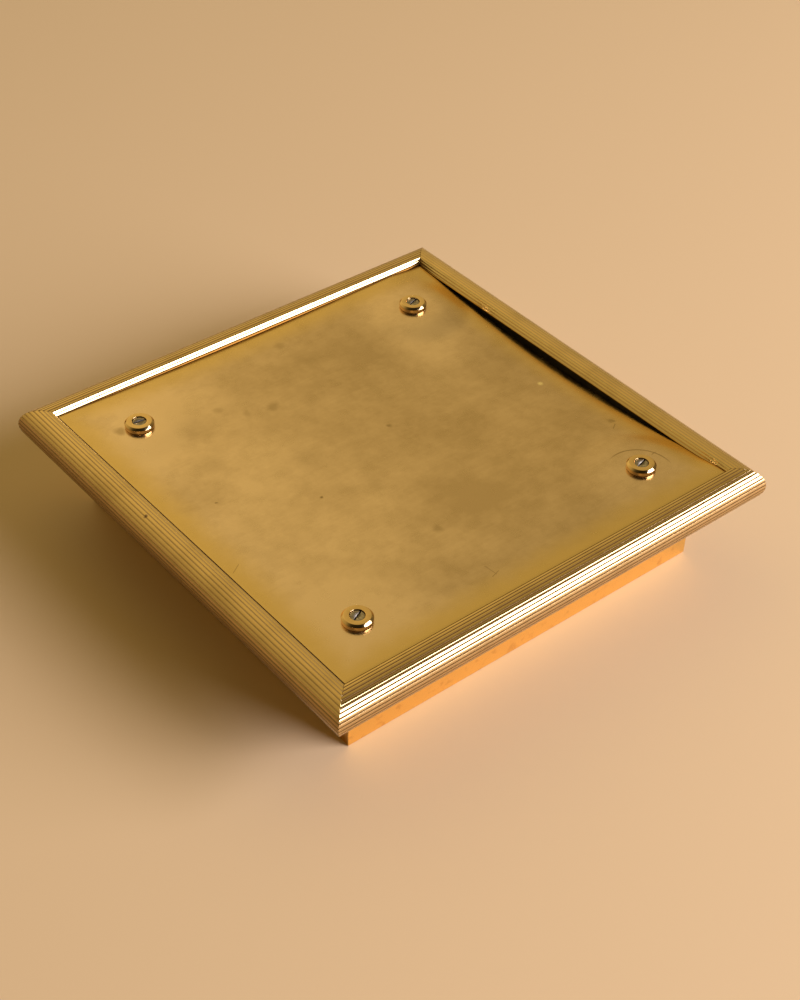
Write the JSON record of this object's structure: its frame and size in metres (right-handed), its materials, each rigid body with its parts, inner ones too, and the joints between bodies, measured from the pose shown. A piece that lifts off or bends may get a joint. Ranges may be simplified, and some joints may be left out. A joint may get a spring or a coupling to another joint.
{
  "type": "valet tray",
  "caption": "Square brass valet tray stored face down: plain walls around a shallow well, a reeded frame, and a screwed base plate with round feet. It holds keys and coins.",
  "frame": {"origin": "centre of the rim of the walls, on the surface that the tray lies on face down", "axes": "+Z from the rim up to the feet, +X towards the side where the base plate's edge is bent, -Y the front; a turn of 180 degrees about X stands the tray on its feet"},
  "size_m": [0.2, 0.2, 0.0434],
  "materials": {
    "moulding_brass": "polished reeded brass",
    "wall_brass": "polished plain brass",
    "floor_brass": "satin brass",
    "plate_brass": "stained and scratched satin brass",
    "boss_brass": "dull brass",
    "foot_brass": "polished turned brass",
    "screw_steel": "worn grey steel"
  },
  "bodies": {
    "root": {"moulding_front": "moulding_brass", "moulding_right": "moulding_brass", "moulding_back": "moulding_brass", "moulding_left": "moulding_brass", "wall_front": "wall_brass", "wall_right": "wall_brass", "wall_back": "wall_brass", "wall_left": "wall_brass", "tray_floor": "floor_brass", "base_plate": "plate_brass", "boss_front_left": "boss_brass", "boss_front_right": "boss_brass", "boss_back_right": "boss_brass", "boss_back_left": "boss_brass", "foot_front_left": "foot_brass", "foot_front_right": "foot_brass", "foot_back_right": "foot_brass", "foot_back_left": "foot_brass", "screw_front_left": "screw_steel", "screw_front_right": "screw_steel", "screw_back_right": "screw_steel", "screw_back_left": "screw_steel"}
  },
  "joints": []
}
